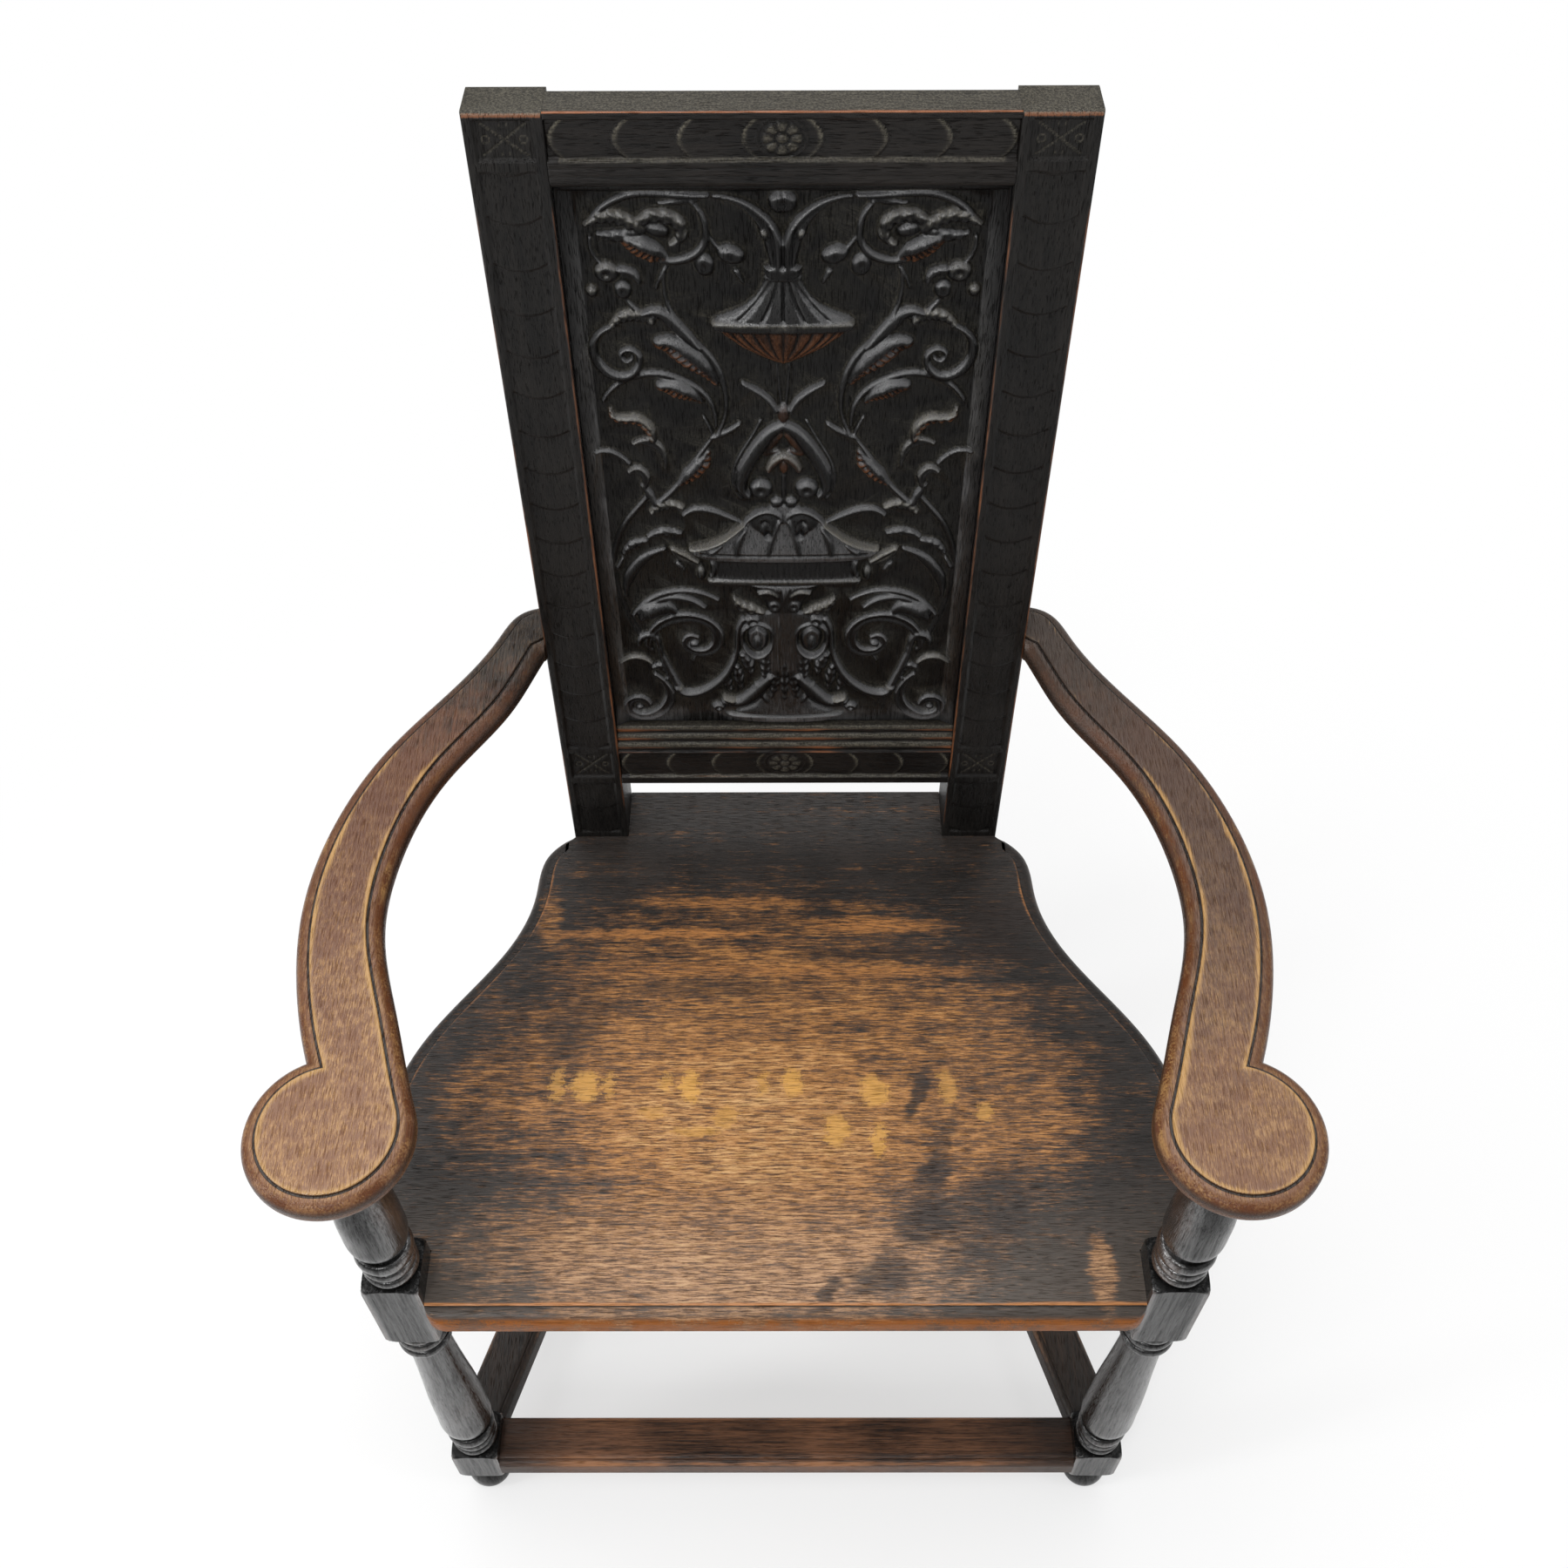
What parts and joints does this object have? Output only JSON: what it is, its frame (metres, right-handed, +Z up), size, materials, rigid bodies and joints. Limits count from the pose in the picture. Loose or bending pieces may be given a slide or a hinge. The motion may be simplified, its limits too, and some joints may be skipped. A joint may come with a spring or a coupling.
{
  "type": "wainscot chair",
  "caption": "Carved oak armchair with a tall panelled back, shaped arms that end in discs, turned front posts, a flared board seat and a square of low stretchers.",
  "frame": {"origin": "middle of the footprint on the floor", "axes": "+Z up, +Y from the front of the seat towards the back, +X to the right of someone who faces the chair"},
  "size_m": [0.644, 0.4893, 1.0975],
  "materials": {
    "oak_back_frame": "aged carved oak, nearly black, waxed satin, red-brown where the edges are worn",
    "oak_panel": "aged carved oak, nearly black, waxed, greyer on the raised carving",
    "oak_posts": "aged turned oak, black-brown, waxed satin",
    "oak_arms": "aged oak, mid brown, golden at the worn edges, waxed",
    "oak_seat": "aged oak, golden brown in the middle and dark at the edges, waxed and polished by use",
    "oak_rails": "aged oak, dark brown, waxed",
    "oak_stretchers": "aged oak, dark reddish brown, worn satin",
    "oak_pegs": "aged oak end grain, dark brown",
    "raw_oak": "unfinished oak, aged"
  },
  "bodies": {
    "root": {"rear_stile_left": "oak_back_frame", "rear_stile_right": "oak_back_frame", "back_top_rail": "oak_back_frame", "back_bottom_rail": "oak_back_frame", "back_panel": "oak_panel", "front_post_left": "oak_posts", "front_post_right": "oak_posts", "arm_left": "oak_arms", "arm_right": "oak_arms", "seat_board": "oak_seat", "seat_rail_front": "oak_rails", "seat_rail_left": "oak_rails", "seat_rail_right": "oak_rails", "seat_rail_rear": "oak_rails", "stretcher_front": "oak_stretchers", "stretcher_left": "oak_stretchers", "stretcher_right": "oak_stretchers", "stretcher_rear": "oak_stretchers", "back_frame_pegs": "oak_pegs", "seat_rail_pegs": "oak_pegs", "stretcher_pegs": "oak_pegs", "arm_pegs": "oak_pegs", "seat_glue_blocks": "raw_oak"}
  },
  "joints": []
}
